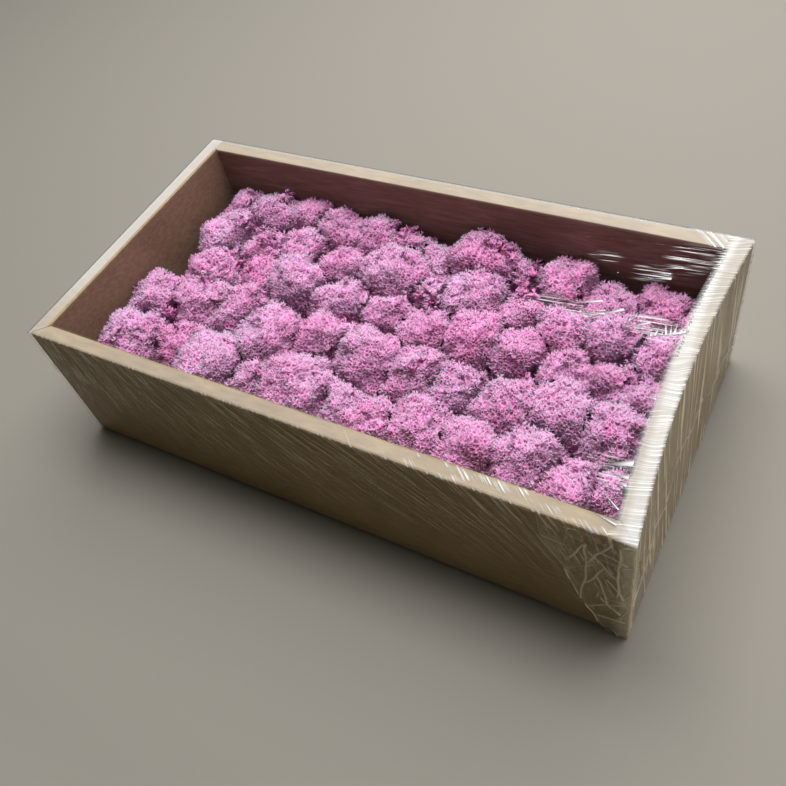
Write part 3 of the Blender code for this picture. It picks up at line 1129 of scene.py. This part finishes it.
bpy.ops.object.select_all(action="DESELECT")
bpy.ops.mesh.primitive_grid_add(x_subdivisions=flap_cells_across, y_subdivisions=flap_cells_down, size=1)
flap = bpy.context.object
flap.name = "film_corner_flap"
whiteness_and_highlights = []
for corner in flap.data.vertices:
    down = (0.5 - corner.co.y) * (film_tall * to_mm - 2 * flap_margin) + flap_margin
    left = read_line(flap_edge, down)
    along = left + (corner.co.x + 0.5) * (film_long * to_mm - flap_side_gap - left)
    away, facets = noise.voronoi(Vector((along * 0.12, down * 0.075, 4)))
    small_away, small_facets = noise.voronoi(Vector((along * 0.2 + 0.1 * down, down * 0.16, 8)))
    crumple = 1 - smooth_step(away[1] - away[0], 0, crumple_edge)
    small = 1 - smooth_step(small_away[1] - small_away[0], 0, small_crumple_edge)
    fade = min(0.5 + 0.8 * noise_at(along * 0.15, down * 0.15, 6), 1)
    folded = max(crease_at(along, down), fade * crumple, 0.55 * fade * small)
    facet = 0.5 + noise.noise(facets[0] * 2.7) + 0.5 * noise.noise(small_facets[0] * 2.3)
    rise = 0.3 + 0.7 * folded + 0.2 * facet
    # The flap is whiter along its creases and crumples, on some facets more than others, and by the
    # corner edge: partly the film's own milkiness, partly painted highlights
    folded = 0.75 * max(folded, 0) ** 1.5 + 0.3 * (1 - smooth_step(along - left, 0, 0.8))
    whiteness_and_highlights.append(0.02 + 0.12 * min(max(facet, 0), 1) + folded + 0.4 * smooth_step(along, 314, 318.5))
    corner.co = Vector((film_low.x + along * mm, film_low.y - rise * mm, film_high.z - down * mm))
bpy.ops.object.shade_smooth()
flap.data.materials.append(clear_film)
set_attribute(flap, "haze_and_sheen", whiteness_and_highlights)
set_attribute(flap, "amber", [flap_amber] * len(whiteness_and_highlights))
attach(flap, "root")


# Over the right end of the opening the tight film is gathered in sharp pleats, flat spines of film
# folded on itself, painted white: partly the film's own milkiness, partly painted glints. Each is
# told by its point, its root and its half width in millimetres.
pleats = (
    ((298, 29.5), (311.5, 33.5), 0.9),
    ((303, 26.5), (311.5, 26.8), 0.6),
    ((305.5, 24.4), (311.5, 23), 0.5),
    ((301, 18.6), (311, 12.4), 0.25),
    ((301, 8.5), (312, 6), 0.25),
    ((307, 69.7), (311, 69), 0.4),
    ((303.5, 66), (311, 66.8), 0.3),
    ((292, 96.6), (310.5, 105.5), 0.8),
    ((298.3, 108.6), (300.6, 101.3), 0.35),
    ((303.4, 108), (303.6, 102.5), 0.45),
    ((296.7, 105.2), (296.4, 99.6), 0.3),
    ((301.2, 107.4), (302.3, 102), 0.3),
    ((306.4, 108.5), (305.8, 103.5), 0.35),
    ((294.4, 102), (294.8, 98.6), 0.25),
    ((264.5, 99), (279.5, 110), 0.45),
    ((279.5, 97), (292.4, 106), 0.3),
    ((251.5, 104.7), (269, 112), 0.4),
    ((259.5, 101.9), (273.6, 105), 0.3),
    ((262, 103.6), (272, 107), 0.2),
    ((284, 132), (293, 134.4), 0.45),
    ((285.4, 135.5), (292, 137.5), 0.25),
    ((284.4, 138.7), (296, 142.6), 0.2),
    ((307.4, 138), (311.5, 139.6), 0.45),
)
fringe_seed = 7
fringe_start = 92
fringe_step = 1.9
fringe_end = 157
fringe_point = 310.8
fringe_root = 312.5
fringe_slant = 0.4
fringe_half_width = 0.4
pleat_spread = 0.0025
pleat_flatness = 0.12
pleat_rise = 0.0002
bowed_from = 0.309
bowed_to = 0.312

bpy.ops.object.select_all(action="DESELECT")
chance = random.Random(fringe_seed)
spines = list(pleats)
place = fringe_start
while place < fringe_end:
    length = chance.uniform(0.8, 3.4) + 3 * smooth_step(place, 135, fringe_end)
    root = (fringe_root, place + chance.uniform(-0.5, 1))
    spines.append(((fringe_point - length, place - fringe_slant), root, fringe_half_width))
    place += fringe_step * chance.uniform(0.7, 1.3)
for number, (point, root, half_width) in enumerate(spines):
    add_strand(Vector((*root, 0)) * mm, Vector((*point, 0)) * mm, half_width * pleat_spread)
    if number == 0:
        gathered = bpy.context.object
        gathered.name = "film_pleats"
        bpy.ops.object.transform_apply(location=True, rotation=True, scale=True)
        bpy.ops.object.mode_set(mode="EDIT")
bpy.ops.object.mode_set(mode="OBJECT")
for corner in gathered.data.vertices:
    bow = 0
    if corner.co.x > bowed_from:
        bow = end_wall_bow * math.cos(math.pi * (corner.co.y / film_deep - 0.5))
    corner.co.x += film_low.x - bow * smooth_step(corner.co.x, bowed_from, bowed_to)
    corner.co.y += film_low.y
    corner.co.z = film_high.z + pleat_rise + corner.co.z * pleat_flatness
bpy.ops.object.shade_smooth()
gathered.data.materials.append(clear_film)
# Full haze makes the pleats white: partly the folded film's milkiness, partly painted glints
set_attribute(gathered, "haze_and_sheen", [1] * len(gathered.data.vertices))
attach(gathered, "root")


# The wrap is closed by a heat seal across the right end: two layers of film melted together in a
# narrow fin, which lies flat on the side in a wandering line, told from the front and the rim.
seal_line = (
    (0, 50), (18, 51), (24, 48.7), (35, 41), (48, 50), (57, 46), (63, 40), (76, 39.5),
    (94, 48), (99, 44), (107, 43), (118, 53), (134, 54.5), (136, 51), (162, 63), (171, 66),
)
seal_height = 0.9
seal_cells = 240
seal_crimp = 0.35
seal_stand = 0.0004
seal_tilt = 0.0005
seal_haze_and_glint = 0.85

bpy.ops.object.select_all(action="DESELECT")
bpy.ops.mesh.primitive_grid_add(x_subdivisions=seal_cells, y_subdivisions=2, size=1)
seal = bpy.context.object
seal.name = "film_seal"
for corner in seal.data.vertices:
    along = (corner.co.x + 0.5) * film_deep * to_mm
    crimp = seal_crimp * noise_at(along * 0.9, 7, 1)
    tall = film_high.z - (read_line(seal_line, along) + crimp - corner.co.y * seal_height) * mm
    y = film_low.y + along * mm
    bow = end_wall_bow * math.cos(math.pi * y / film_deep) * tall / film_high.z
    stand = seal_stand + seal_tilt * (corner.co.y + 0.5)
    corner.co = Vector((film_high.x - bow + stand, y, tall))
bpy.ops.object.shade_smooth()
seal.data.materials.append(clear_film)
# The fin is painted near white: partly the melted film's milkiness, partly painted glints along it
set_attribute(seal, "haze_and_sheen", [seal_haze_and_glint] * len(seal.data.vertices))
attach(seal, "root")
